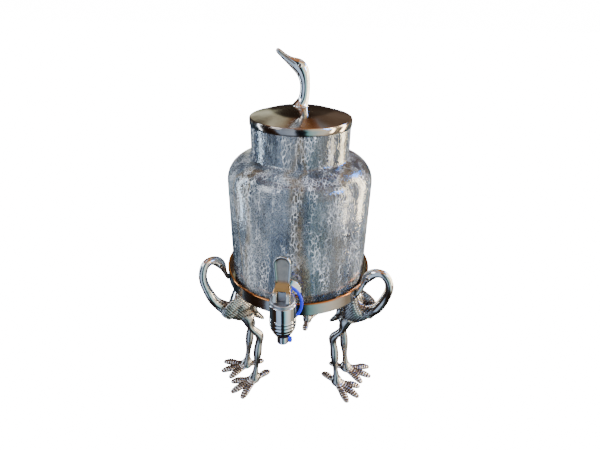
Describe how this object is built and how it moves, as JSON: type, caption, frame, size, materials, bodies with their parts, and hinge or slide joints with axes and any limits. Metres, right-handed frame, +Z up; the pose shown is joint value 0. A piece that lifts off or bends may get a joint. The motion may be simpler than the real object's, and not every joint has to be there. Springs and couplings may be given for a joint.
{
  "type": "drink dispenser",
  "caption": "Glass drink dispenser jar with a lever tap, carried by a ring on long-legged cast birds, with a plated lid whose knob is a bird's head.",
  "frame": {"origin": "on the jar's axis at the floor, midway between the birds' feet", "axes": "+Z up along the jar's axis, -Y towards the tap, +X to the right as seen from the tap"},
  "size_m": [0.2167, 0.2505, 0.4066],
  "materials": {
    "cast_nickel": "polished cast metal with dark patina in the recesses",
    "plated_ring": "polished nickel plate with a copper tone on the edge",
    "plated_lid": "polished nickel plate",
    "screw_steel": "plain steel",
    "crackle_glass": "clear glass with a network of fine cracks",
    "tap_chrome": "chrome plated plastic",
    "tap_bonnet": "satin plated plastic",
    "tap_lever": "chrome plated plastic",
    "stem_plastic": "moulded plastic",
    "seal_rubber": "moulded rubber",
    "clear_seal": "translucent silicone",
    "blue_silicone": "blue silicone"
  },
  "bodies": {
    "stand": {"stand_ring": "plated_ring", "bird_left": "cast_nickel", "bird_right": "cast_nickel", "bird_back": "cast_nickel", "bird_screws": "screw_steel"},
    "jar": {"glass_jar": "crackle_glass", "tap_body": "tap_chrome", "tap_escutcheon": "tap_chrome", "outer_seal": "seal_rubber", "inner_seal": "clear_seal", "inner_washer": "clear_seal", "back_nut": "stem_plastic", "shank_ring": "blue_silicone", "bonnet_ring": "tap_bonnet", "stem_seal": "seal_rubber", "spout_ring": "blue_silicone", "return_spring": "screw_steel"},
    "valve": {"valve_stem": "stem_plastic", "valve_plug": "seal_rubber", "lever_pin": "screw_steel"},
    "lever": {"lever_handle": "tap_lever"},
    "lid": {"lid_cover": "plated_lid", "lid_finial": "cast_nickel", "finial_screw": "screw_steel"}
  },
  "joints": [
    {"name": "jar_lift", "type": "slide", "parent": "stand", "child": "jar", "axis": [0, 0, 1], "range_m": [0, 0.12]},
    {"name": "lid_lift", "type": "slide", "parent": "jar", "child": "lid", "axis": [0, 0, 1], "range_m": [0, 0.05]},
    {"name": "valve_lift", "type": "slide", "parent": "jar", "child": "valve", "axis": [0, 0, 1], "range_m": [0, 0.0033], "deforming": ["return_spring"]},
    {"name": "lever_tilt", "type": "hinge", "parent": "valve", "child": "lever", "pos_m": [0, -0.113, 0.1961], "axis": [1, 0, 0], "range_deg": [0, 40], "stiffness_Nm_per_rad": 0.3, "springref_deg": -11.46}
  ],
  "couplings": [
    {"joint": "valve_lift", "follows": "lever_tilt", "m_per_rad": 0.0046}
  ]
}
